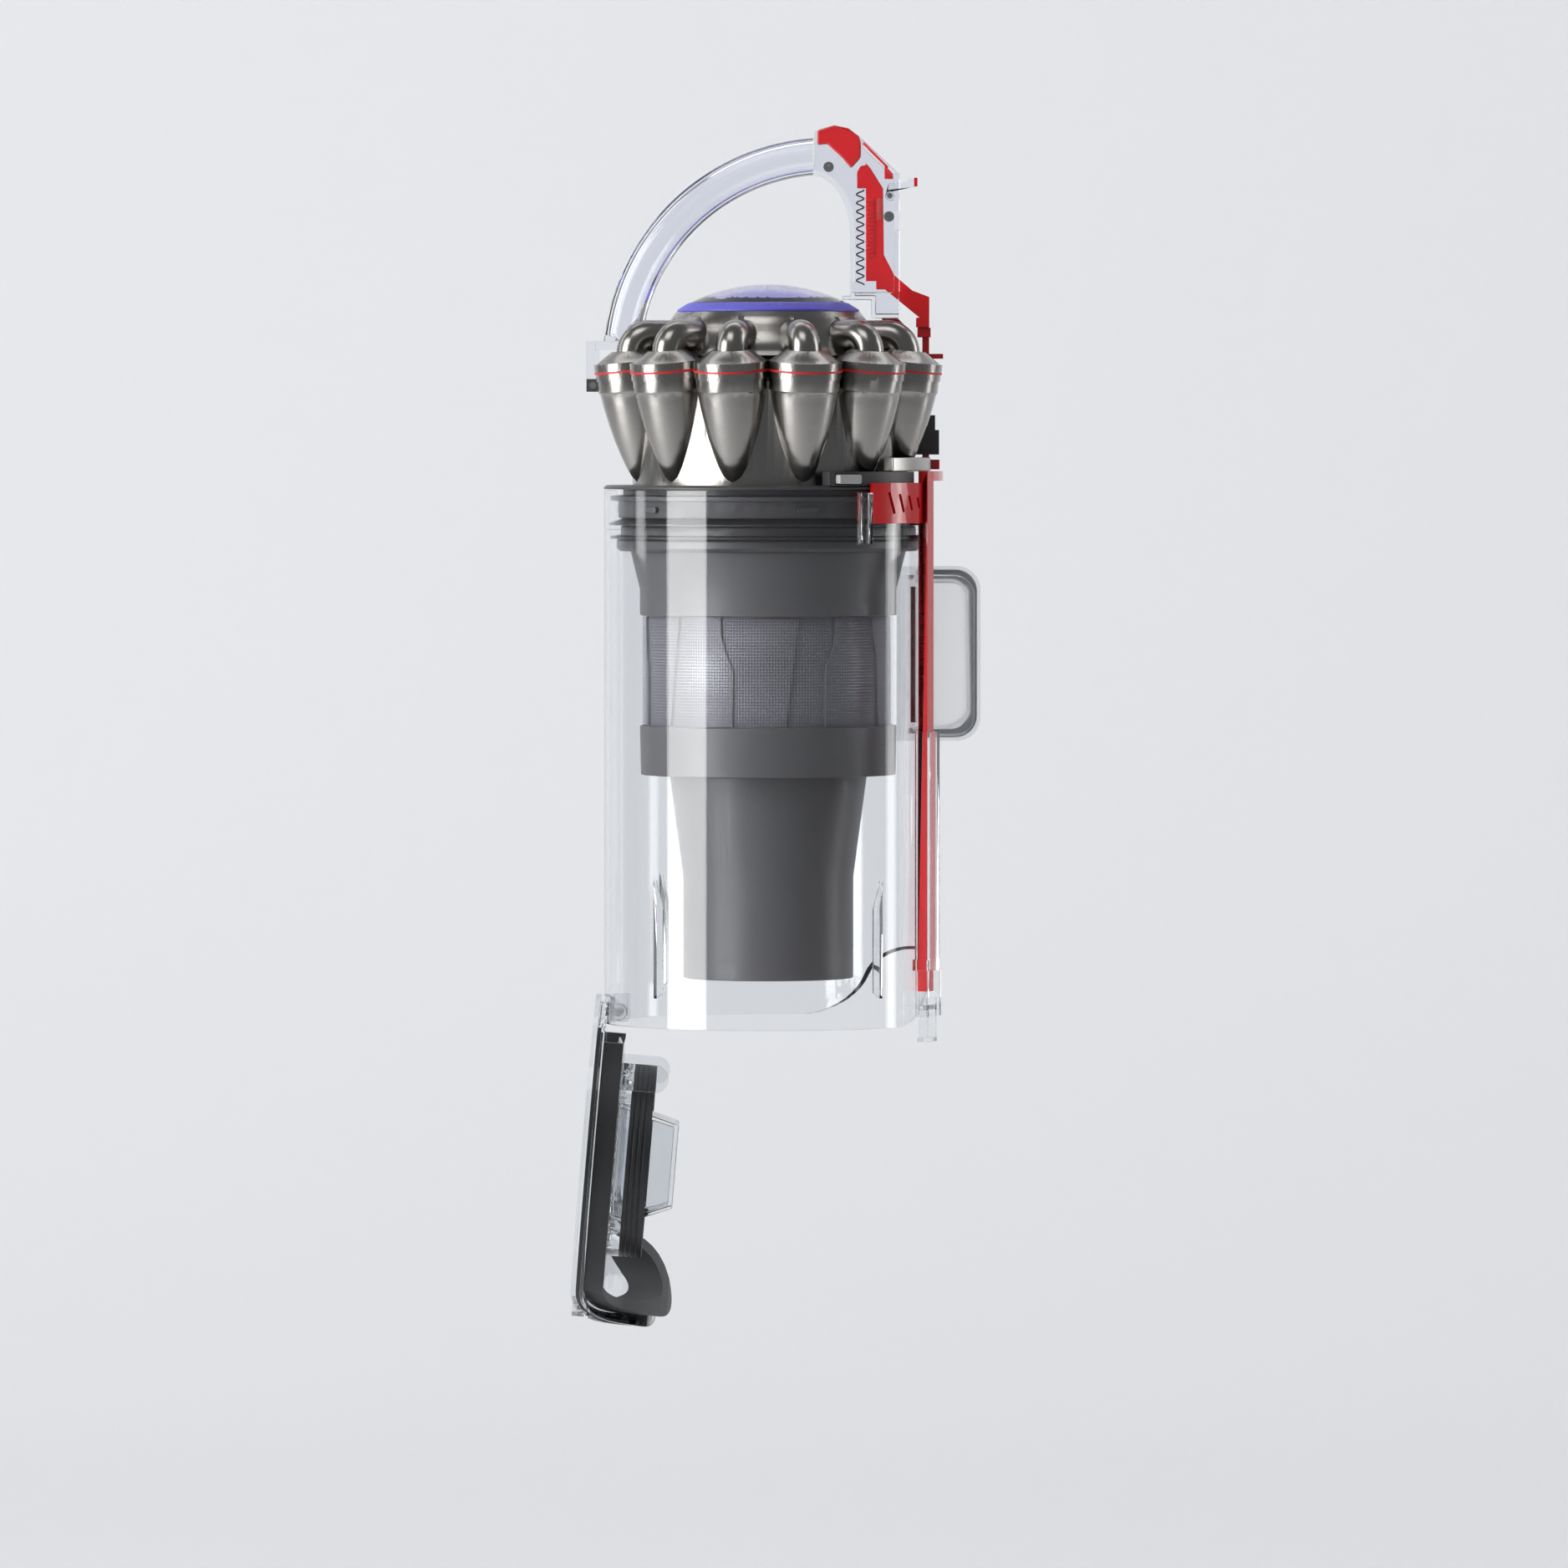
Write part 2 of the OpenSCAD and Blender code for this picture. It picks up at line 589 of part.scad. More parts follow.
module vortex_finders() color("dimgray") for_cones() difference() {
    union() {
        translate([0, 0, -finder_l]) cylinder(r = finder_r, h = finder_l + 1);
        translate([0, 0, lip_t - 1.4]) cylinder(r = cone_r - 4.4, h = 1.2);
    }
    translate([0, 0, -finder_l - 1]) cylinder(r = finder_r - 1.2, h = finder_l + 4);
}
module elbow_ducts() color("slategray") for (i = [0 : cone_count - 1])
    rotate([0, 0, (i + 0.5) * 360 / cone_count]) {
        translate([cone_ring_r, 0, 0]) ring(elbow_r, elbow_in, bend_z - 4, bend_z);
        translate([cone_ring_r - bend_r, 0, bend_z]) rotate([90, 0, 0])
            rotate_extrude(angle = 90) translate([bend_r, 0]) difference() {
                circle(r = elbow_r);
                circle(r = elbow_in);
            }
        translate([elbow_end_r, 0, bend_z + bend_r]) rotate([0, 90, 0])
            ring(elbow_r, elbow_in, 0, cone_ring_r - bend_r - elbow_end_r);
    }
module manifold() color("slategray") difference() {
    rotate_extrude($fn = 128) polygon([
        [37.4, manifold_top], [40, manifold_top - 3.4], [42.6, manifold_top - 10],
        [46, manifold_top - 15], [50.5, mouth_z + 7.4], [44.2, mouth_z + 7.4],
        [core_bore + 3.2, mouth_z + 2], [core_bore + 3.2, mouth_z - 2.6],
        [core_bore - 1.6, mouth_z - 2.6], [core_bore - 1.6, manifold_top - 6],
        [35.4, manifold_top]]);
    for (i = [0 : cone_count - 1]) rotate([0, 0, (i + 0.5) * 360 / cone_count]) elbow_envelope();
    for_cones() cap_body(-6);
}
module filter_frame() color("royalblue") {
    ring(filter_r, filter_r - 1.4, manifold_top - 58, manifold_top - 52);
    ring(filter_r, filter_r - 1.4, manifold_top - 4, manifold_top);
    for (i = [0 : 7]) at_angle(45 * i) translate([filter_r - 1.4, -1.5, manifold_top - 54])
        cube([1.4, 3, 52]);
    ring(35.2, filter_r - 1.4, manifold_top - 1.6, manifold_top);
}
module filter_felt() color("white")
    ring(filter_r - 1.5, filter_r - 9, manifold_top - 57, manifold_top - 0.2);
module filter_seal() color("mediumpurple") rotate_extrude($fn = 128) polygon([
    [37, manifold_top + join], [37, manifold_top + 0.9], [32.5, manifold_top + 3.6],
    [26, manifold_top + 3.6], [26, manifold_top + join]]);

// ---- Latches on the pack ----
module catch_housing() color("dimgray") difference() {
    ring_strip(bin_r, 59.4, collar_top, collar_top + 5.6, -68.5, -28);
    at_angle(-61.5) translate([58, -5.1 - gap, collar_top + 0.6])
        cube([20, 2 * (5.1 + gap), 4.2]);
}
module release_bar() color("silver")
    ring_strip(bin_r - 0.2, 61.4, collar_top + 5.7, collar_top + 11.3, -41, -8);
module release_button() color("lightgray") {
    at_angle(-61.5) translate([61.2, -5.1, collar_top + 0.8]) cube([8.6, 10.2, 3.7]);
}
module button_spring() color("silver") at_angle(-61.5) translate([58.5, 0, collar_top + 2.7])
    rotate([0, 90, 0]) ring(1.5, 1, 0, 2.6);
module transfer_rod() color("red") {
    translate([link_x0, -link_y, link_low]) cube([link_x1 - link_x0, 2 * link_y, link_top - link_low]);
    translate([60.6, -link_end_y, link_low]) cube([9, 2 * link_end_y, 4]);
    translate([60.6, -link_end_y, link_top - 4]) cube([5.4, 2 * link_end_y, 4]);
}
module rod_bracket() color("gray") {
    difference() {
        for (s = [-1, 1]) translate([0, s > 0 ? link_y + gap : -link_y - gap - 2, 0]) {
            translate([core_r + 1.2, 0, link_low + 6]) cube([13, 2, 10]);
            translate([core_r + 6, 0, link_low + 16]) cube([6.6, 2, 6]);
        }
        for (i = [0, cone_count - 1]) at_cone(i)
            rotate_extrude() polygon(cone_profile(cone_r + 0.05, cone_len));
    }
    difference() {
        translate([59, -5.6, mouth_z + 6.3]) cube([12, 11.2, 2]);
        translate([link_x0 - gap, -link_y - gap, mouth_z]) cube([20, 2 * (link_y + gap), 20]);
        for_cones() cap_body(0);
    }
}

// ---- Handle, lid and mechanism ----
module filter_lid() color("lavender", 0.5) {
    lid_r = 32;
    lid_t = 2;
    dome_r = (lid_r * lid_r + lid_rise * lid_rise) / (2 * lid_rise);
    apex = manifold_top + 3.75 + lid_rise;
    spread = asin(lid_r / dome_r);
    inner_spread = acos((dome_r - lid_rise) / (dome_r - lid_t));
    rotate_extrude($fn = 128) polygon(concat(
        [for (i = [0 : 8]) let (a = spread * i / 8) [dome_r * sin(a), apex - dome_r * (1 - cos(a))]],
        [for (i = [8 : -1 : 0]) let (a = inner_spread * i / 8)
            [(dome_r - lid_t) * sin(a), apex - dome_r + (dome_r - lid_t) * cos(a)]]));
}
module handle_arc(t, w, a0, a1) {
    translate([handle_cx, 0, handle_cz]) rotate([90, 0, 0]) rotate([0, 0, a0])
        rotate_extrude(angle = a1 - a0, $fn = 160) translate([handle_r, 0])
            round_rect(t, w, min(t, w) * 0.42);
}
module carry_handle() color("white", 0.35) difference() {
    union() {
        handle_arc(grip_t, grip_t, handle_top_a, 176.2);
        translate([-66.2, -7.4, foot_z + 3.6]) cube([13, 14.8, 2.4]);
    }
    handle_arc(grip_t - 2 * handle_wall, grip_t - 2 * handle_wall, handle_top_a - 2, 173);
    translate([-90, -20, foot_z - 20]) cube([60, 40, 23.6]);
    translate([house_x0 - 0.7, -20, handle_cz]) cube([20, 40, 120]);
}
module handle_foot() color("white", 0.35) difference() {
    union() {
        translate([-70.2, -7.2, foot_z]) cube([20.2, 14.4, 3.5]);
        translate([handle_hinge_x - 2.6, -ear_w, handle_hinge_z]) cube([5.2, 2 * ear_w,
            foot_z + 3.5 - handle_hinge_z]);
        translate([handle_hinge_x, 0, handle_hinge_z]) rotate([90, 0, 0])
            cylinder(r = 2.6, h = 2 * ear_w, center = true);
    }
    translate([handle_hinge_x, 0, handle_hinge_z]) rotate([90, 0, 0])
        cylinder(r = handle_pin_r + pin_gap, h = 40, center = true);
}
module handle_hinge_pin() color("silver") translate([handle_hinge_x, 0, handle_hinge_z])
    rotate([90, 0, 0]) cylinder(r = handle_pin_r, h = 2 * (ear_w + gap + 4), center = true);

// Side outline of the mechanism housing, moved in by w
function house_outline(w) = concat(
    [[house_x0 + w, house_z0 + 65 - w], [26.8, house_z0 + 67.2 - w],
     [36.6 - 0.4 * w, house_z0 + 63.3 - w], [house_x1 - w, house_z0 + 47.7 - 0.6 * w],
     [house_x1 - w, house_z0 + w], [33.2 + w, house_z0 + w]],
    [for (a = [0 : 15 : 90])
        [house_x0 - 0.6 + (14.9 + w) * cos(a), house_z0 + 22.8 + (24.6 + w) * sin(a)]]
);
module mechanism_housing() color("white", 0.35) difference() {
    along_y(-house_y, house_y) polygon(house_outline(0));
    along_y(-house_y + handle_wall, house_y - handle_wall) polygon(house_outline(handle_wall));
    // open top for the trigger
    translate([house_x0 - 1, -house_y + handle_wall, house_z0 + 55])
        cube([20.4, 2 * (house_y - handle_wall), 20]);
    // open foot for the slide
    translate([34, -house_y + handle_wall, house_z0 - 1]) cube([17, 2 * (house_y - handle_wall), 5]);
    // slots for the neck and for the hook
    translate([house_x1 - 5, -slide_y - gap, house_z0 - 1]) cube([10, 2 * (slide_y + gap), 26]);
    translate([house_x1 - 5, -3 - gap, house_z0 + 33]) cube([10, 2 * (3 + gap), 15]);
    translate([49.4, 0, house_z0 + 39]) rotate([90, 0, 0]) cylinder(r = 1, h = 40, center = true);
    for (p = screw_places()) translate([p[0], 0, p[1]]) rotate([90, 0, 0])
        cylinder(r = 1.2, h = 40, center = true);
}
function screw_places() = [[49, house_z0 + 30.5], [24.5, house_z0 + 50.6]];
module housing_screws() color("silver") for (p = screw_places())
    translate([p[0], -house_y - 0.6, p[1]]) rotate([-90, 0, 0]) difference() {
        union() {
            cylinder(r = 1.2, h = 2 * house_y - 2);
            cylinder(r = 2.1, h = 0.6);
        }
        for (t = [0, 90]) rotate([0, 0, t]) translate([-1.2, -0.3, -0.5]) cube([2.4, 0.6, 0.9]);
    }
module trigger_button() color("red") {
    along_y(-6.4, 6.4) polygon([
        [house_x0 + 1, house_z0 + 59.5], [house_x0 + 1, house_z0 + 65.6], [26.8, house_z0 + 67.6],
        [32.5, house_z0 + 66.4], [37, house_z0 + 63], [37.6, house_z0 + 60.4],
        [37.6, house_z0 + 54.4], [33.6, house_z0 + 50], [30, house_z0 + 54.4],
        [24, house_z0 + 60]]);
}
module push_slide() color("red") {
    along_y(-slide_y, slide_y) polygon([
        [39.6, house_z0 + 52.4], [39.6, house_z0 + 4.4], [43.8, house_z0 + 4.4],
        [43.8, house_z0 + 1], [47.4, house_z0 + 1],
        [61.4, house_z0 - 10.4], [60, house_z0 - 10.4], [60, house_z0 - 14.4],
        [65.4, house_z0 - 14.4], [65.4, house_z0 - 2], [58.5, house_z0 + 0.6],
        [51.2, house_z0 + 6.8], [47, house_z0 + 15], [46.6, house_z0 + 42], [41.6, house_z0 + 50]]);
    along_y(-slide_y, slide_y) polygon([
        [39.8, house_z0 + 51.6], [39.8, house_z0 + 42], [36, house_z0 + 42], [36, house_z0 + 48.6],
        [37.4, house_z0 + 51]]);
}
// Coil spring as a swept helix
spring_turns = 11;
spring_x = 37.35;
spring_coil_r = 1.5;
spring_wire_r = 0.35;
spring_low = house_z0 + handle_wall + 0.8;
spring_high = house_z0 + 41.4;
spring_steps = 12;
module coil(turns, coil_r, wire_r, z0, z1) {
    sides = 6;
    n = turns * spring_steps;
    rise = (z1 - z0) / n;
    points = [for (i = [0 : n]) for (k = [0 : sides - 1])
        let (a = 360 * i / spring_steps, b = 360 * k / sides, r = coil_r + wire_r * cos(b))
        [r * cos(a), r * sin(a), z0 + rise * i + wire_r * sin(b)]];
    faces = concat(
        [[for (k = [0 : sides - 1]) k]],
        [for (i = [0 : n - 1]) for (k = [0 : sides - 1]) for (half = [0, 1])
            let (p = i * sides + k, q = i * sides + (k + 1) % sides)
            half == 0 ? [p, p + sides, q + sides] : [p, q + sides, q]],
        [[for (k = [sides - 1 : -1 : 0]) n * sides + k]]);
    polyhedron(points, faces);
}
module return_spring() color("silver") translate([spring_x, 0, 0])
    coil(spring_turns, spring_coil_r, spring_wire_r, spring_low, spring_high);
module rear_hook() color("white", 0.5) difference() {
    union() {
        along_y(-3, 3) polygon([
            [48.6, house_z0 + 41.4], [60.5, house_z0 + 42.8], [60.5, house_z0 + 46.2],
            [56.8, house_z0 + 46.2], [56.8, house_z0 + 44.4], [48.6, house_z0 + 44],
            [48.2, house_z0 + 39], [50.6, house_z0 + 36.8], [51, house_z0 + 38.4]]);
        translate([49.4, 0, house_z0 + 39]) rotate([90, 0, 0]) cylinder(r = 1.9, h = 6, center = true);
    }
    translate([49.4, 0, house_z0 + 39]) rotate([90, 0, 0])
        cylinder(r = 1 + pin_gap, h = 40, center = true);
}
module hook_pin() color("silver") translate([49.4, 0, house_z0 + 39]) rotate([90, 0, 0])
    cylinder(r = 1, h = 2 * house_y, center = true);
// Wide clear head under the housing that carries the lid, open for the slide
module lid_bridge() color("white", 0.4) difference() {
    along_y(-8, 8) polygon([
        [29.85, house_z0 - 0.2], [53, house_z0 - 0.2], [53, mouth_z + 22.6],
        [41.8, mouth_z + 22.6], [41.8, manifold_top + 4.8], [29.85, manifold_top + 4.8]]);
    along_y(-6.4, 6.4) polygon([
        [35, house_z0 + 1], [60, house_z0 + 1], [60, mouth_z + 24.2],
        [43.4, mouth_z + 24.2], [43.4, manifold_top + 6.4], [35, manifold_top + 6.4]]);
    translate([20, -10, house_z0 - 1.6]) cube([13.4, 20, 4]);
}
// Narrow nose between two elbow ducts, with the latch tooth at its foot
module lid_catch() color("darkred") along_y(-4.4, 4.4) polygon([
    [46, mouth_z + 22.6], [52.8, mouth_z + 22.6], [59.6, mouth_z + 15.6], [59.6, mouth_z + 11],
    [57, mouth_z + 10.2], [47.5, mouth_z + 19]]);

clear_bin();
inlet_duct();
inlet_seal();
rod_channel();
rod_guide();
bin_hinge_bracket();
hinge_pin();
push_rod();
door_catch();
catch_pin();
door_shell();
door_gasket();
door_rim_seal();
door_inner_plate();
door_ribs();
tube_seal();
door_dome();
end_seal();
door_hinge_eyes();
seal_collar();
upper_lip_seal();
lower_lip_seal();
shroud_cap();
shroud_mesh();
shroud_drum();
shroud_skirt();
dust_tube();
collar_screws();
cone_pack();
cone_gasket();
cap_plate();
vortex_finders();
elbow_ducts();
manifold();
catch_housing();
release_bar();
release_button();
button_spring();
transfer_rod();
rod_bracket();
filter_seal();
filter_frame();
filter_felt();
filter_lid();
carry_handle();
handle_foot();
handle_hinge_pin();
mechanism_housing();
lid_bridge();
lid_catch();
trigger_button();
push_slide();
return_spring();
rear_hook();
hook_pin();
housing_screws();
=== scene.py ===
import json
import math

import bmesh
import bpy
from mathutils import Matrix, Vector

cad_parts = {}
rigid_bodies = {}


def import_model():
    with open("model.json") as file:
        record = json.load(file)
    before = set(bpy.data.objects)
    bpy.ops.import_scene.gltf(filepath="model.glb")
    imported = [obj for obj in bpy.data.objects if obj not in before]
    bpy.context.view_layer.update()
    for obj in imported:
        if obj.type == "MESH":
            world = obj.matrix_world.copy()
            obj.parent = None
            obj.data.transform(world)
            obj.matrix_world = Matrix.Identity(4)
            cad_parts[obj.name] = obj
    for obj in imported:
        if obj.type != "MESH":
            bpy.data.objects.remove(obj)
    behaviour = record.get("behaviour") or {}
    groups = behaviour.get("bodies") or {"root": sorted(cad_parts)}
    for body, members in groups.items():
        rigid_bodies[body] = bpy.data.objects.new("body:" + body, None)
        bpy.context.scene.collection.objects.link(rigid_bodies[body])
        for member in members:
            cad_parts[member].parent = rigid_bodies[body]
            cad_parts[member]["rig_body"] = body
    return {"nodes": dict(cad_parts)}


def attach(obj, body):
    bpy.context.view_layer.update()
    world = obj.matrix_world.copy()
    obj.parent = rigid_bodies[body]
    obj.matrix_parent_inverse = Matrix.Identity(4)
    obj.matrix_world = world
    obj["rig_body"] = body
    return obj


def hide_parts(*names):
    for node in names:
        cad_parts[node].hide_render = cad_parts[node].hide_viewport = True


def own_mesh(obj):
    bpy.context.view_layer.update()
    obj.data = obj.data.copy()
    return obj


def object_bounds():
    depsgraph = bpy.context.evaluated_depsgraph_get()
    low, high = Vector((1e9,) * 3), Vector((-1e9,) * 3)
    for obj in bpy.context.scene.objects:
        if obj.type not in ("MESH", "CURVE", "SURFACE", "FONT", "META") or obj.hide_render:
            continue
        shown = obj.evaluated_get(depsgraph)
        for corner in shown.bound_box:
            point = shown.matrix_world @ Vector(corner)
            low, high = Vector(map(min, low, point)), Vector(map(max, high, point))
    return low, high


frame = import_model()
cad_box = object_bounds()
nodes = frame["nodes"]

# Viewpoint: a long lens from a little above the middle, so that upright edges stay upright.
CAMERA_DISTANCE = 4.5
CAMERA_HEIGHT = 0.240
AIM = Vector((0.0064, 0.0, 0.097))
LENS_MM = 254.0
camera = bpy.data.objects.new("camera", bpy.data.cameras.new("camera"))
bpy.context.scene.collection.objects.link(camera)
camera.data.lens = LENS_MM
camera.data.sensor_width = 36.0
camera.data.clip_end = 50.0
camera.location = (AIM.x, -CAMERA_DISTANCE, CAMERA_HEIGHT)
camera.rotation_euler = (AIM - camera.location).to_track_quat("-Z", "Y").to_euler()
bpy.context.scene.camera = camera


# Studio: a pale floor that runs up into a pale wall, a tall softbox at the front left that
# lays one upright stripe down every round wall, a wider dim one at the right, one overhead.
def linear(hex_colour, alpha=1.0):
    """An sRGB hex colour as linear numbers."""
    out = []
    for i in (0, 2, 4):
        c = int(hex_colour[i:i + 2], 16) / 255
        out.append(c / 12.92 if c <= 0.04045 else ((c + 0.055) / 1.055) ** 2.4)
    return (*out, alpha)


def softbox(name, size, place, target, power, colour="FFFFFF"):
    """A rectangular lamp facing a point."""
    data = bpy.data.lights.new(name, "AREA")
    data.shape = "RECTANGLE"
    data.size, data.size_y = size
    data.energy = power
    data.color = linear(colour)[:3]
    lamp = bpy.data.objects.new(name, data)
    bpy.context.scene.collection.objects.link(lamp)
    lamp.location = place
    lamp.rotation_euler = (Vector(target) - Vector(place)).to_track_quat("-Z", "Y").to_euler()
    return lamp


softbox("stripe_softbox", (0.86, 1.5), (-1.3, -0.78, 0.45), (0, 0, 0.25), 26)
softbox("edge_softbox", (0.25, 1.5), (1.5, 0.15, 0.45), (0, 0, 0.2), 4)
softbox("top_softbox", (1.0, 0.7), (-0.35, -0.9, 1.7), (0, 0, 0.25), 5)
softbox("wall_lamp_left", (0.6, 2.4), (-2.1, 0.7, 1.3), (-0.4, 1.9, 0.6), 12)
softbox("wall_lamp_right", (0.6, 2.4), (2.1, 0.7, 1.3), (0.4, 1.9, 0.6), 12)
softbox("floor_lamp", (2.4, 0.5), (0.0, 1.0, 2.2), (0.0, 0.5, -0.1), 7)

world = bpy.data.worlds.new("studio_air")
bpy.context.scene.world = world
world.use_nodes = True
world.node_tree.nodes["Background"].inputs["Color"].default_value = linear("EEF1F6")
world.node_tree.nodes["Background"].inputs["Strength"].default_value = 0.2
bpy.context.scene.view_settings.view_transform = "Standard"


def add(tree, kind, settings=None, links=None, **attributes):
    """Adds one node with its attributes, input values and links to earlier sockets."""
    made = tree.nodes.new(kind)
    for key, value in attributes.items():
        setattr(made, key, value)
    for key, value in (settings or {}).items():
        made.inputs[key].default_value = value
    for key, socket in (links or {}).items():
        tree.links.new(socket, made.inputs[key])
    return made


def new_material(name, colour, roughness, **inputs):
    """A material with one Principled shader; underscores in input names stand for spaces."""
    material = bpy.data.materials.new(name)
    material.use_nodes = True
    shader = material.node_tree.nodes["Principled BSDF"]
    shader.inputs["Base Color"].default_value = linear(colour)
    shader.inputs["Roughness"].default_value = roughness
    for key, value in inputs.items():
        shader.inputs[key.replace("_", " ")].default_value = value
    return material, shader


# Seamless studio paper, matt; clear when seen from behind, so that the object can be looked
# at from every side
paper, shader = new_material("studio_paper", "F3F4F6", 0.9)
tree = paper.node_tree
behind = add(tree, "ShaderNodeNewGeometry")
clear = add(tree, "ShaderNodeBsdfTransparent")
mix = add(tree, "ShaderNodeMixShader", links={
    0: behind.outputs["Backfacing"], 1: shader.outputs[0], 2: clear.outputs[0]})
tree.links.new(mix.outputs[0], tree.nodes["Material Output"].inputs["Surface"])
bm = bmesh.new()
sweep = [(-4.0, 0.0), (1.2, 0.0), (1.55, 0.06), (1.8, 0.25), (1.9, 0.6), (1.9, 4.0)]
# Low enough for the bin to be pulled right down off its pack
FLOOR_DROP = 0.24
floor_z = cad_box[0][2] - FLOOR_DROP
rail = [bm.verts.new((-5.0, y, floor_z + z)) for y, z in sweep]
edges = [bm.edges.new(pair) for pair in zip(rail, rail[1:])]
strip = bmesh.ops.extrude_edge_only(bm, edges=edges)
far = [g for g in strip["geom"] if isinstance(g, bmesh.types.BMVert)]
bmesh.ops.translate(bm, verts=far, vec=(10.0, 0.0, 0.0))
bm.normal_update()
bm.faces.ensure_lookup_table()
if bm.faces[0].normal.z < 0:
    bmesh.ops.reverse_faces(bm, faces=bm.faces)
mesh = bpy.data.meshes.new("studio_floor")
bm.to_mesh(mesh)
bm.free()
mesh.shade_smooth()
mesh.materials.append(paper)
studio_floor = bpy.data.objects.new("studio_floor", mesh)
bpy.context.scene.collection.objects.link(studio_floor)
studio_floor.modifiers.new("curve", "SUBSURF").levels = 3
studio_floor.modifiers["curve"].render_levels = 3


# Clear bin: one deep injection moulding in polycarbonate, drawn from the tool downwards, with
# a thin upper wall for the seals. Its rim edge is left polished by the tool.
def object_coordinates(tree):
    return add(tree, "ShaderNodeTexCoord").outputs["Object"]


def let_lamps_through(material, shader, tint):
    """Puts a Transparent shader in for rays from lamps, so that a clear wall casts no black shadow."""
    tree = material.node_tree
    path = add(tree, "ShaderNodeLightPath")
    clear = add(tree, "ShaderNodeBsdfTransparent", {"Color": linear(tint)})
    mix = add(tree, "ShaderNodeMixShader", links={
        0: path.outputs["Is Shadow Ray"], 1: shader.outputs[0], 2: clear.outputs[0]})
    tree.links.new(mix.outputs[0], tree.nodes["Material Output"].inputs["Surface"])


def moulded_grain(material, shader, grain_mm, depth, rough_low, rough_high):
    """Fine spark-eroded grain on a moulding: a bump and a matching change in roughness."""
    tree = material.node_tree
    coordinates = object_coordinates(tree)
    grain = add(tree, "ShaderNodeTexNoise", {"Scale": 1000 / grain_mm, "Detail": 2.0},
                {"Vector": coordinates})
    broad = add(tree, "ShaderNodeTexNoise", {"Scale": 40.0, "Detail": 3.0},
                {"Vector": coordinates})
    rough = add(tree, "ShaderNodeMapRange", {"To Min": rough_low, "To Max": rough_high},
                {"Value": broad.outputs["Fac"]})
    tree.links.new(rough.outputs[0], shader.inputs["Roughness"])
    bump = add(tree, "ShaderNodeBump", {"Strength": depth, "Distance": 0.0002},
               {"Height": grain.outputs["Fac"]})
    tree.links.new(bump.outputs[0], shader.inputs["Normal"])
    return coordinates


# Polycarbonate, polished tool: water clear, with faint scratches that widen its highlights
polycarbonate, shader = new_material(
    "polished_polycarbonate", "FBFCFD", 0.02, IOR=1.45, Transmission_Weight=1.0)
tree = polycarbonate.node_tree
haze = add(tree, "ShaderNodeTexNoise", {"Scale": 60.0, "Detail": 4.0},
           {"Vector": object_coordinates(tree)})
rough = add(tree, "ShaderNodeMapRange", {"From Min": 0.35, "To Min": 0.01, "To Max": 0.05},
            {"Value": haze.outputs["Fac"]})
tree.links.new(rough.outputs[0], shader.inputs["Roughness"])
let_lamps_through(polycarbonate, shader, "F6F7F8")


def exact_round_normals(mesh):
    """True normals on walls that turn about the upright axis, so that light bends evenly there."""
    normals = []
    for polygon in mesh.polygons:
        for index in polygon.loop_indices:
            point = mesh.vertices[mesh.loops[index].vertex_index].co
            outward = Vector((point.x, point.y, 0.0)).normalized()
            facing = polygon.normal.dot(outward)
            if abs(facing) > 0.995:
                normals.append(outward * math.copysign(1.0, facing))
            else:
                normals.append(Vector((0.0, 0.0, 0.0)))
    mesh.normals_split_custom_set(normals)


def finished(name, material, edge_mm=0.25, corner=32, round_wall=False):
    """A copy of one CAD solid with merged faces, small rounded edges and smooth curves."""
    source = nodes[name]
    bm = bmesh.new()
    bm.from_mesh(source.data)
    bmesh.ops.remove_doubles(bm, verts=bm.verts, dist=1e-6)
    bmesh.ops.dissolve_limit(
        bm, angle_limit=math.radians(0.3), use_dissolve_boundaries=False,
        verts=bm.verts, edges=bm.edges, delimit={"NORMAL"})
    if round_wall:
        sharp = [e for e in bm.edges if e.is_manifold
                 and e.calc_face_angle() > math.radians(corner)]
        bmesh.ops.bevel(bm, geom=sharp, offset=edge_mm / 1000, segments=2, affect="EDGES",
                        profile=0.5, material=-1, clamp_overlap=True)
    mesh = bpy.data.meshes.new(name + "_moulding")
    bm.to_mesh(mesh)
    bm.free()
    mesh.materials.clear()
    mesh.materials.append(material)
    mesh.shade_smooth()
    mesh.set_sharp_from_angle(angle=math.radians(corner))
    if round_wall:
        exact_round_normals(mesh)
    piece = bpy.data.objects.new(name + "_moulding", mesh)
    bpy.context.scene.collection.objects.link(piece)
    if edge_mm and not round_wall:
        bevel = piece.modifiers.new("edge_radius", "BEVEL")
        bevel.width = edge_mm / 1000
        bevel.segments = 2
        bevel.profile = 0.5
        bevel.limit_method = "ANGLE"
        bevel.angle_limit = math.radians(corner)
        bevel.material = -1
        bevel.harden_normals = True
    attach(piece, source["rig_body"])
    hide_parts(name)
    return piece


finished("clear_bin", polycarbonate, 0.3, round_wall=True)
for name in ("rod_channel", "rod_guide", "bin_hinge_bracket"):
    finished(name, polycarbonate, 0.3)
# Polycarbonate, thin and lightly textured outside: the duct's walls look pale, not black
duct_plastic, shader = new_material(
    "textured_polycarbonate", "FAFBFC", 0.22, IOR=1.2, Transmission_Weight=0.85)
moulded_grain(duct_plastic, shader, 0.5, 0.1, 0.12, 0.3)
let_lamps_through(duct_plastic, shader, "EEF0F1")
finished("inlet_duct", duct_plastic, 0.3)

# Soft pad on the inlet's face, pressed into its groove, and the black seals used elsewhere.
# Clear silicone, moulded: milky, with a wide soft shine
silicone, shader = new_material("milky_silicone", "E9EAEC", 0.3, Transmission_Weight=0.85,
                                IOR=1.41)
let_lamps_through(silicone, shader, "E4E6E8")
finished("inlet_seal", silicone, 0.3)
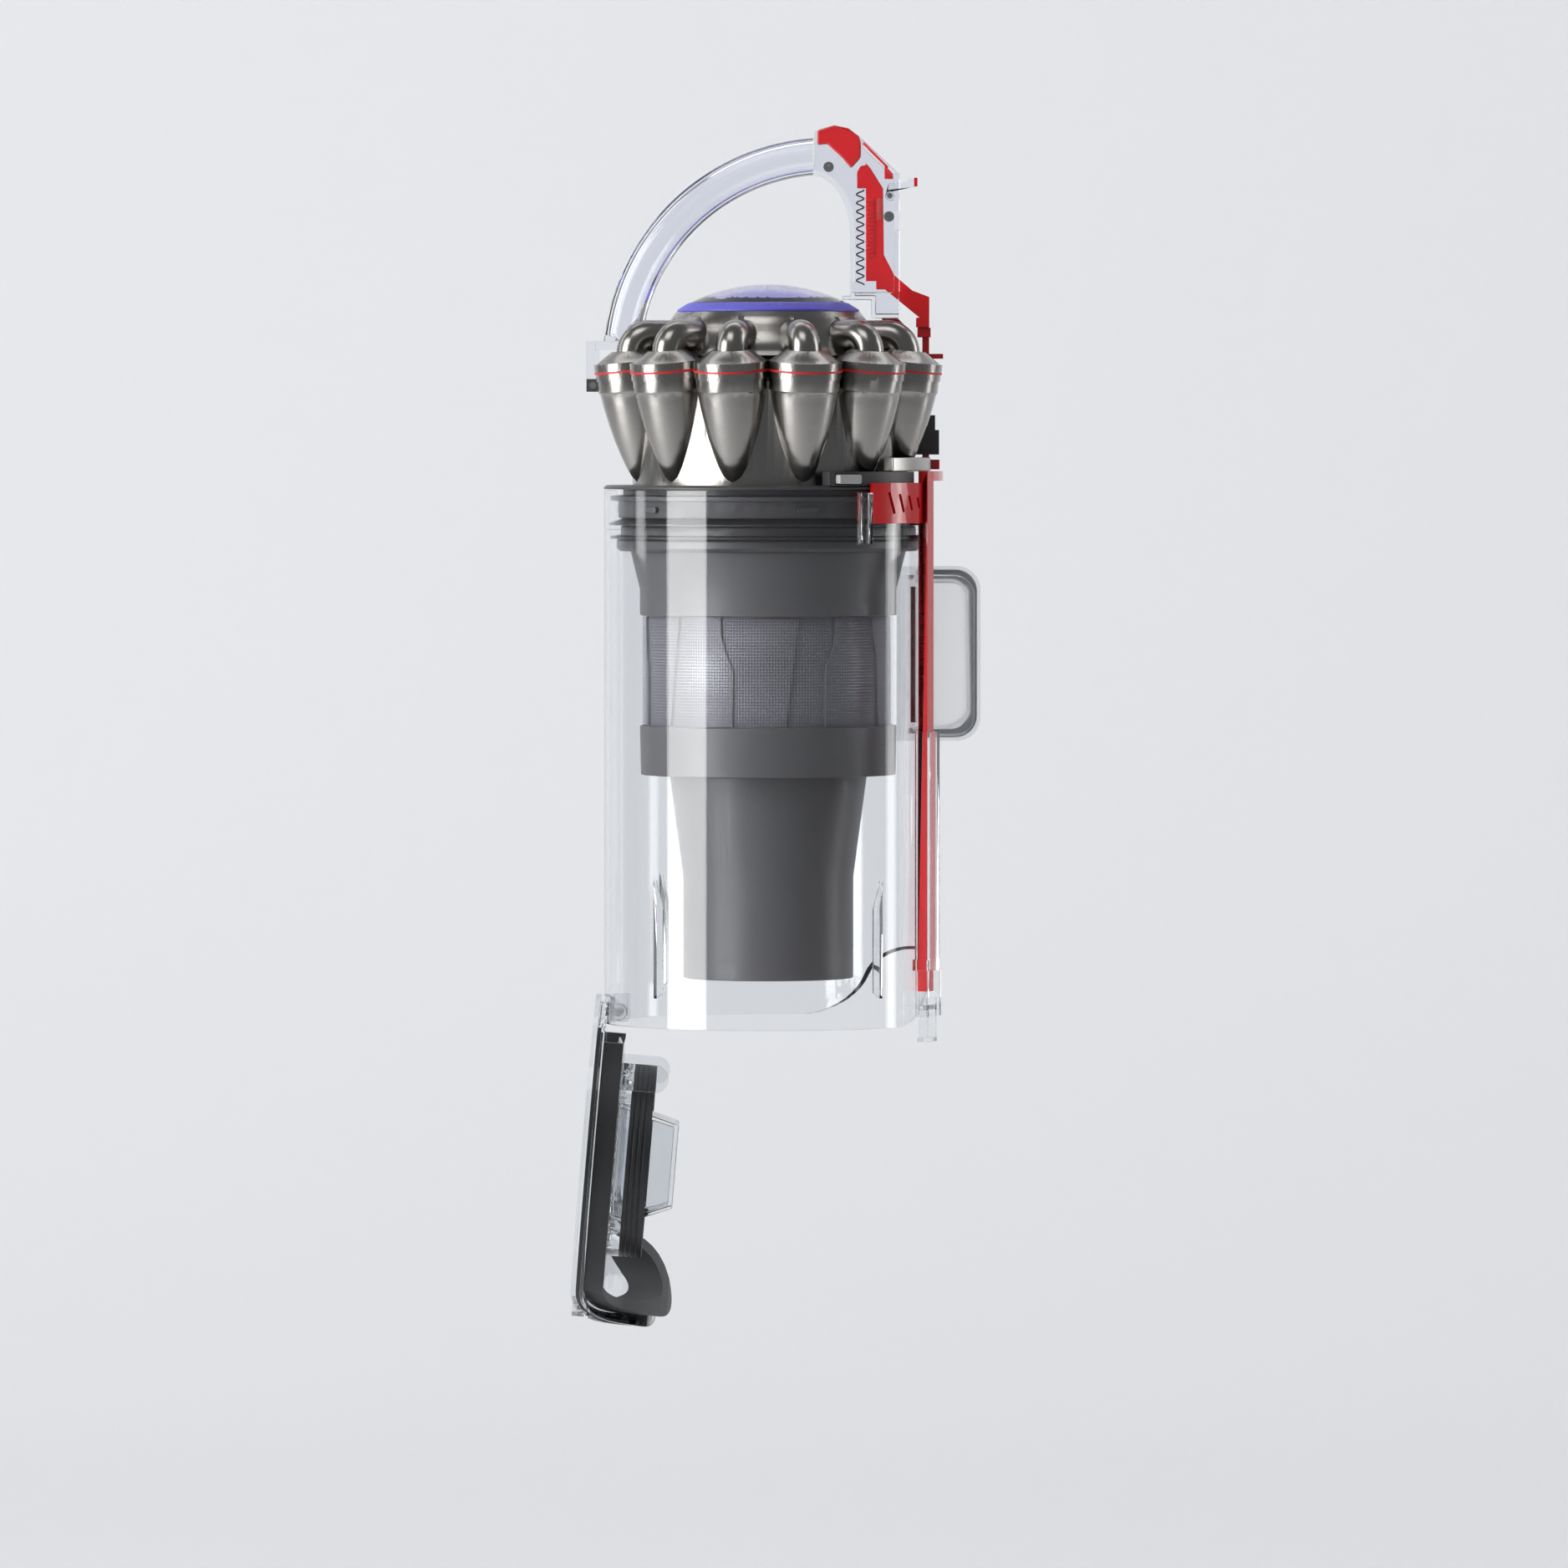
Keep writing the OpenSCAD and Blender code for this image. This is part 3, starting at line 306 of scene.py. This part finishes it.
# EPDM rubber, moulded: nearly black, soft wide shine
rubber, shader = new_material("moulded_epdm_rubber", "1D1D1F", 0.5)
moulded_grain(rubber, shader, 0.4, 0.1, 0.4, 0.52)

# Push rod: a long red lever in the clear channel, with a slotted plate at its top that carries
# it round to the release catch.
# Pigmented ABS, polished: deep red with a sharp highlight
red_abs, shader = new_material("polished_red_abs", "D01217", 0.18, Coat_Weight=0.6,
                               Coat_Roughness=0.04, Specular_IOR_Level=0.5)
moulded_grain(red_abs, shader, 0.8, 0.06, 0.14, 0.26)
finished("push_rod", red_abs, 0.5)

# Door catch on its steel pin.
# Ground steel: bright, fine lines round the pin
steel, shader = new_material("ground_steel", "B9BABC", 0.25, Metallic=1.0)
moulded_grain(steel, shader, 0.3, 0.15, 0.2, 0.38)
finished("door_catch", polycarbonate, 0.3)
finished("catch_pin", steel, 0.15)
finished("hinge_pin", steel, 0.15)

# Bottom door: a thick clear moulding with a black gasket in its rim, ribs and a dome inside,
# and rubber seals that wipe the bin wall and close the dust tube.
# Polycarbonate, thick section: as clear as the bin, a little darker in its edges
door_plastic, shader = new_material(
    "thick_polycarbonate", "F1F3F5", 0.03, IOR=1.49, Transmission_Weight=1.0)
let_lamps_through(door_plastic, shader, "E8EAEC")
for name in ("door_shell", "door_inner_plate", "door_ribs", "door_dome", "door_hinge_eyes"):
    finished(name, door_plastic, 0.45)
for name in ("door_gasket", "door_rim_seal", "tube_seal", "end_seal"):
    finished(name, rubber, 0.35)

# Seal collar: a dark ring that drops into the bin mouth, with two rubber lips, four raised
# bars and screws from below.
# ABS, spark-eroded tool: dark grey with a soft satin sheen
dark_abs, shader = new_material("satin_dark_abs", "3F3E40", 0.4)
moulded_grain(dark_abs, shader, 0.35, 0.1, 0.32, 0.42)
finished("seal_collar", dark_abs, 0.3)
finished("upper_lip_seal", rubber, 0.1)
finished("lower_lip_seal", rubber, 0.1)
finished("collar_screws", steel, 0.1)

# Shroud: a dark cap and skirt with a perforated band between them, a grey drum with raised
# ribs behind the band, and the fine dust tube below.
# ABS, fine grain: dark warm grey, matt
shroud_abs, shader = new_material("grained_shroud_abs", "4A494B", 0.45)
moulded_grain(shroud_abs, shader, 0.35, 0.12, 0.38, 0.48)
for name in ("shroud_cap", "shroud_skirt", "dust_tube"):
    finished(name, shroud_abs, 0.4)
# ABS, polished: mid grey
drum_abs, shader = new_material("grey_drum_abs", "6E6D6F", 0.32)
moulded_grain(drum_abs, shader, 0.4, 0.06, 0.28, 0.36)
DRUM_R = 0.0488
BAND_LOW, BAND_HIGH = 0.121, 0.1658
DRUM_WALL = 0.0018


def wrapped_panel(outline, angle, thickness, name, material, radius, body):
    """A flat outline, in metres along the arc and up, thickened and laid round a drum."""
    bm = bmesh.new()
    face = bm.faces.new([bm.verts.new((u, 0.0, v)) for u, v in outline])
    bmesh.ops.triangulate(bm, faces=[face])
    for cut in range(-5, 6):
        bmesh.ops.bisect_plane(bm, geom=bm.verts[:] + bm.edges[:] + bm.faces[:],
                               plane_co=(cut * 0.002, 0, 0), plane_no=(1, 0, 0))
    extruded = bmesh.ops.extrude_face_region(bm, geom=bm.faces[:])
    lifted = [g for g in extruded["geom"] if isinstance(g, bmesh.types.BMVert)]
    bmesh.ops.translate(bm, verts=lifted, vec=(0.0, thickness, 0.0))
    for vert in bm.verts:
        turn = vert.co.x / radius + math.radians(angle) - math.pi / 2
        reach = radius + vert.co.y
        vert.co = Vector((reach * math.cos(turn), reach * math.sin(turn), vert.co.z))
    bmesh.ops.remove_doubles(bm, verts=bm.verts, dist=1e-6)
    bmesh.ops.recalc_face_normals(bm, faces=bm.faces)
    mesh = bpy.data.meshes.new(name)
    bm.to_mesh(mesh)
    bm.free()
    mesh.materials.append(material)
    mesh.shade_smooth()
    mesh.set_sharp_from_angle(angle=math.radians(35))
    piece = bpy.data.objects.new(name, mesh)
    bpy.context.scene.collection.objects.link(piece)
    bevel = piece.modifiers.new("panel_edge", "BEVEL")
    bevel.width = 0.0004
    bevel.segments = 2
    bevel.profile = 0.5
    bevel.limit_method = "ANGLE"
    bevel.angle_limit = math.radians(40)
    bevel.material = -1
    bevel.harden_normals = True
    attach(piece, body)
    return piece


def mirrored(half):
    """A closed outline from its right half, listed from bottom to top."""
    return half + [(-u, v) for u, v in reversed(half)]


# Right halves: a bottle with a slim neck, and a Y with a slim stem
bottle = mirrored([(0.0066, 0.0004), (0.0068, 0.022), (0.0062, 0.0252), (0.0045, 0.0282),
                   (0.0028, 0.0325), (0.0020, 0.0375), (0.0018, 0.0442)])
wishbone = mirrored([(0.0024, 0.0004), (0.0024, 0.0245), (0.0034, 0.0285), (0.0055, 0.0335),
                     (0.0070, 0.039), (0.0076, 0.0442)])
for i in range(6):
    for outline, offset, word in ((bottle, -24.6, "bottle"), (wishbone, 5.4, "wishbone")):
        raised = [(u, BAND_LOW + v) for u, v in outline]
        wrapped_panel(raised, offset + 60 * i, 0.0011, f"drum_{word}_{i + 1}", drum_abs,
                      DRUM_R - 0.0001, "pack")

# The drum itself, a plain spun wall behind the panels
bm = bmesh.new()
profile = [(DRUM_R - DRUM_WALL, BAND_LOW), (DRUM_R, BAND_LOW),
           (DRUM_R, BAND_HIGH), (DRUM_R - DRUM_WALL, BAND_HIGH)]
ring = [bm.verts.new((r, 0.0, z)) for r, z in profile]
edges = [bm.edges.new((ring[i], ring[(i + 1) % 4])) for i in range(4)]
bmesh.ops.spin(bm, geom=ring + edges, cent=(0, 0, 0), axis=(0, 0, 1),
               angle=math.tau, steps=96, use_merge=True)
bmesh.ops.recalc_face_normals(bm, faces=bm.faces)
mesh = bpy.data.meshes.new("drum_wall")
bm.to_mesh(mesh)
bm.free()
mesh.materials.append(drum_abs)
mesh.shade_smooth()
mesh.set_sharp_from_angle(angle=math.radians(40))
drum_wall = bpy.data.objects.new("drum_wall", mesh)
bpy.context.scene.collection.objects.link(drum_wall)
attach(drum_wall, "pack")
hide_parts("shroud_drum")

# Etched steel mesh, 0.5 mm holes; drawn coarser, at 1.2 mm, so that it shows
MESH_R = 0.0512
HOLE_PITCH = 0.0012
mesh_steel, shader = new_material("etched_shroud_mesh", "C9CACD", 0.35, Metallic=0.6)
tree = mesh_steel.node_tree
across = add(tree, "ShaderNodeSeparateXYZ", links={
    0: add(tree, "ShaderNodeUVMap", uv_map="round_and_up").outputs[0]})
waves = []
for axis in ("X", "Y"):
    turned = add(tree, "ShaderNodeMath", {1: math.pi / HOLE_PITCH}, {0: across.outputs[axis]},
                 operation="MULTIPLY")
    waves.append(add(tree, "ShaderNodeMath", links={0: turned.outputs[0]}, operation="SINE"))
hole = add(tree, "ShaderNodeMath", links={0: waves[0].outputs[0], 1: waves[1].outputs[0]},
           operation="MULTIPLY")
size = add(tree, "ShaderNodeMath", links={0: hole.outputs[0]}, operation="ABSOLUTE")
wire = add(tree, "ShaderNodeMapRange", {"From Min": 0.16, "From Max": 0.3, "To Min": 0.16,
                                        "To Max": 0.0}, {"Value": size.outputs[0]})
clear = add(tree, "ShaderNodeBsdfTransparent", {"Color": linear("F4F4F6")})
mix = add(tree, "ShaderNodeMixShader", links={
    0: wire.outputs[0], 1: clear.outputs[0], 2: shader.outputs[0]})
tree.links.new(mix.outputs[0], tree.nodes["Material Output"].inputs["Surface"])
bm = bmesh.new()
rail = [bm.verts.new((MESH_R, 0.0, z)) for z in (BAND_LOW, BAND_HIGH)]
side = bm.edges.new(rail)
bmesh.ops.spin(bm, geom=rail + [side], cent=(0, 0, 0), axis=(0, 0, 1), angle=math.tau,
               steps=128, use_merge=True)
bmesh.ops.recalc_face_normals(bm, faces=bm.faces)
layer = bm.loops.layers.uv.new("round_and_up")
for face in bm.faces:
    middle = face.calc_center_median()
    centre_turn = math.atan2(middle.y, middle.x)
    for loop in face.loops:
        turn = math.atan2(loop.vert.co.y, loop.vert.co.x)
        turn = centre_turn + (turn - centre_turn + math.pi) % math.tau - math.pi
        loop[layer].uv = (turn * MESH_R, loop.vert.co.z)
mesh = bpy.data.meshes.new("shroud_screen")
bm.to_mesh(mesh)
bm.free()
mesh.materials.append(mesh_steel)
mesh.shade_smooth()
shroud_screen = bpy.data.objects.new("shroud_screen", mesh)
bpy.context.scene.collection.objects.link(shroud_screen)
sheet_gauge = shroud_screen.modifiers.new("sheet_gauge", "SOLIDIFY")
sheet_gauge.thickness = 0.0003
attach(shroud_screen, "pack")
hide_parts("shroud_mesh")

# Cyclone pack: twelve cones moulded with their core, painted in satin nickel, capped by a
# plate on a thin red gasket.
# Satin nickel paint on ABS: grey metallic flake under a satin lacquer
nickel_paint, shader = new_material("satin_nickel_paint", "8E8C89", 0.24, Metallic=1.0,
                                    Coat_Weight=0.25, Coat_Roughness=0.12)
tree = nickel_paint.node_tree
coordinates = moulded_grain(nickel_paint, shader, 0.25, 0.12, 0.19, 0.27)
flake = add(tree, "ShaderNodeTexNoise", {"Scale": 3500.0, "Detail": 1.0},
            {"Vector": coordinates})
ramp = add(tree, "ShaderNodeMix", {6: linear("8B8884"), 7: linear("A5A29E")},
           {0: flake.outputs["Fac"]}, data_type="RGBA")
tree.links.new(ramp.outputs[2], shader.inputs["Base Color"])
for name in ("cone_pack", "cap_plate", "elbow_ducts", "manifold"):
    finished(name, nickel_paint, 0.3 if name != "elbow_ducts" else 0.0)
finished("vortex_finders", dark_abs, 0.0)
# Silicone gasket, red: soft sheen
red_silicone, shader = new_material("red_silicone_gasket", "C81A1C", 0.4)
moulded_grain(red_silicone, shader, 0.5, 0.2, 0.35, 0.5)
finished("cone_gasket", red_silicone, 0.0)

# Release catch and its button on the collar, and the transfer rod that the trigger pushes.
finished("catch_housing", dark_abs, 0.4)
# Satin chrome plating on ABS
satin_chrome, shader = new_material("satin_chrome_plating", "B5B3B0", 0.3, Metallic=1.0)
moulded_grain(satin_chrome, shader, 0.3, 0.1, 0.25, 0.35)
finished("release_bar", satin_chrome, 0.5)
# ABS, light grey, satin
light_abs, shader = new_material("satin_light_abs", "A9A7A5", 0.38)
moulded_grain(light_abs, shader, 0.6, 0.2, 0.33, 0.44)
finished("release_button", light_abs, 0.6)
# The button's spring gives way towards the collar as the button goes in; here it only gets a mesh of
# its own
inward_spring = finished("button_spring", steel, 0.0)
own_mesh(inward_spring)
finished("transfer_rod", red_abs, 0.4)
bracket = finished("rod_bracket", dark_abs, 0.4)
# Its top flange is a separate red moulding, above the gasket line
FLANGE_FROM_Z = 0.262
bracket.data.materials.append(red_abs)
for polygon in bracket.data.polygons:
    if polygon.center.z > FLANGE_FROM_Z:
        polygon.material_index = 1

# Filter under the lid: a felt sleeve on a blue frame, with a purple seal.
# TPE, purple, satin
purple_tpe, shader = new_material("purple_tpe_seal", "5B58C8", 0.4)
moulded_grain(purple_tpe, shader, 0.5, 0.2, 0.35, 0.5)
purple_abs, shader = new_material("purple_abs", "4A47A8", 0.35)
moulded_grain(purple_abs, shader, 0.7, 0.15, 0.3, 0.4)
finished("filter_seal", purple_tpe, 0.3)
finished("filter_frame", purple_abs, 0.2)
# Polyester felt: white, hairy
felt, shader = new_material("polyester_felt", "E4E2DC", 0.95, Sheen_Weight=0.4)
moulded_grain(felt, shader, 0.4, 0.9, 0.9, 1.0)
finished("filter_felt", felt, 0.4)
# Tinted polycarbonate: lilac, clear
lilac, shader = new_material("lilac_polycarbonate", "D5D1F6", 0.03, IOR=1.45,
                             Transmission_Weight=1.0)
let_lamps_through(lilac, shader, "C9C4F2")
finished("filter_lid", lilac, 0.3)

# Carry handle: a hollow clear tube bent to one arc, on a clear foot, with the trigger's
# mechanism in a clear housing.
# Polycarbonate with a faint blue cast in its thick edges
handle_plastic, shader = new_material(
    "blue_cast_polycarbonate", "F8F9FD", 0.03, IOR=1.45, Transmission_Weight=1.0)
let_lamps_through(handle_plastic, shader, "F2F3F9")
for name in ("carry_handle", "handle_foot", "mechanism_housing", "rear_hook", "lid_bridge"):
    finished(name, handle_plastic, 0.5)
for name in ("handle_hinge_pin", "hook_pin", "housing_screws"):
    finished(name, steel, 0.0)
# Oil tempered spring wire: dark, drawn
wire_steel, shader = new_material("oil_tempered_wire", "4C4D50", 0.35, Metallic=1.0)
moulded_grain(wire_steel, shader, 0.2, 0.15, 0.3, 0.42)
trigger_spring = finished("return_spring", wire_steel, 0.0)
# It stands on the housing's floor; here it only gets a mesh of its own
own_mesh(trigger_spring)
# Dark translucent red polycarbonate
dark_red, shader = new_material("dark_red_polycarbonate", "8E0D10", 0.12,
                                Transmission_Weight=0.35, IOR=1.5)
finished("lid_catch", dark_red, 0.4)
# Lighter red polycarbonate, thin enough to glow
light_red, shader = new_material("light_red_polycarbonate", "EE5A52", 0.15,
                                 Transmission_Weight=0.5, IOR=1.5)
finished("trigger_button", red_abs, 0.9)
finished("push_slide", red_abs, 0.5)


def side_profile(points, half_width, name, material, body, edge_mm=0.3):
    """A side outline, in metres along X and up, pushed out both ways across the handle."""
    bm = bmesh.new()
    face = bm.faces.new([bm.verts.new((x, -half_width, z)) for x, z in points])
    extruded = bmesh.ops.extrude_face_region(bm, geom=[face])
    moved = [g for g in extruded["geom"] if isinstance(g, bmesh.types.BMVert)]
    bmesh.ops.translate(bm, verts=moved, vec=(0.0, 2 * half_width, 0.0))
    bmesh.ops.recalc_face_normals(bm, faces=bm.faces)
    bmesh.ops.bevel(bm, geom=bm.edges[:], offset=edge_mm / 1000, segments=2,
                    affect="EDGES", profile=0.5, material=-1, clamp_overlap=True)
    mesh = bpy.data.meshes.new(name)
    bm.to_mesh(mesh)
    bm.free()
    mesh.materials.append(material)
    mesh.shade_smooth()
    mesh.set_sharp_from_angle(angle=math.radians(40))
    piece = bpy.data.objects.new(name, mesh)
    bpy.context.scene.collection.objects.link(piece)
    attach(piece, body)
    return piece


# Rack of small teeth on each face of the slide, and a light window moulded in its middle
TOOTH_PITCH = 0.0016
for i in range(15):
    low = 0.3112 + TOOTH_PITCH * i
    side_profile([(0.0400, low), (0.0432, low), (0.0432, low + 0.0009), (0.0400, low + 0.0009)],
                 0.0056, f"slide_tooth_{i + 1:02d}", red_abs, "trigger", 0.12)
side_profile([(0.0440, 0.3262), (0.0464, 0.3262), (0.0464, 0.3350), (0.0440, 0.3350)],
             0.0054, "slide_window", light_red, "trigger", 0.2)
# Thin red strips inside the housing, one in its upper corner, one along its sloping roof: a painted
# reflection of the red mechanism along the clear walls' edges
side_profile([(0.0472, 0.3428), (0.0507, 0.3428), (0.0507, 0.3446), (0.0494, 0.3462),
              (0.0472, 0.3480)], 0.0060, "painted_corner_red_reflection", red_abs, "handle", 0.3)
side_profile([(0.0383, 0.3570), (0.0388, 0.3578), (0.0488, 0.3477), (0.0483, 0.3470)],
             0.0062, "painted_roof_red_reflection", red_abs, "handle", 0.15)
# Red pad on the hook's tip
side_profile([(0.0592, 0.3398), (0.0606, 0.3398), (0.0606, 0.3434), (0.0592, 0.3434)],
             0.0031, "hook_pad", red_abs, "hook", 0.2)
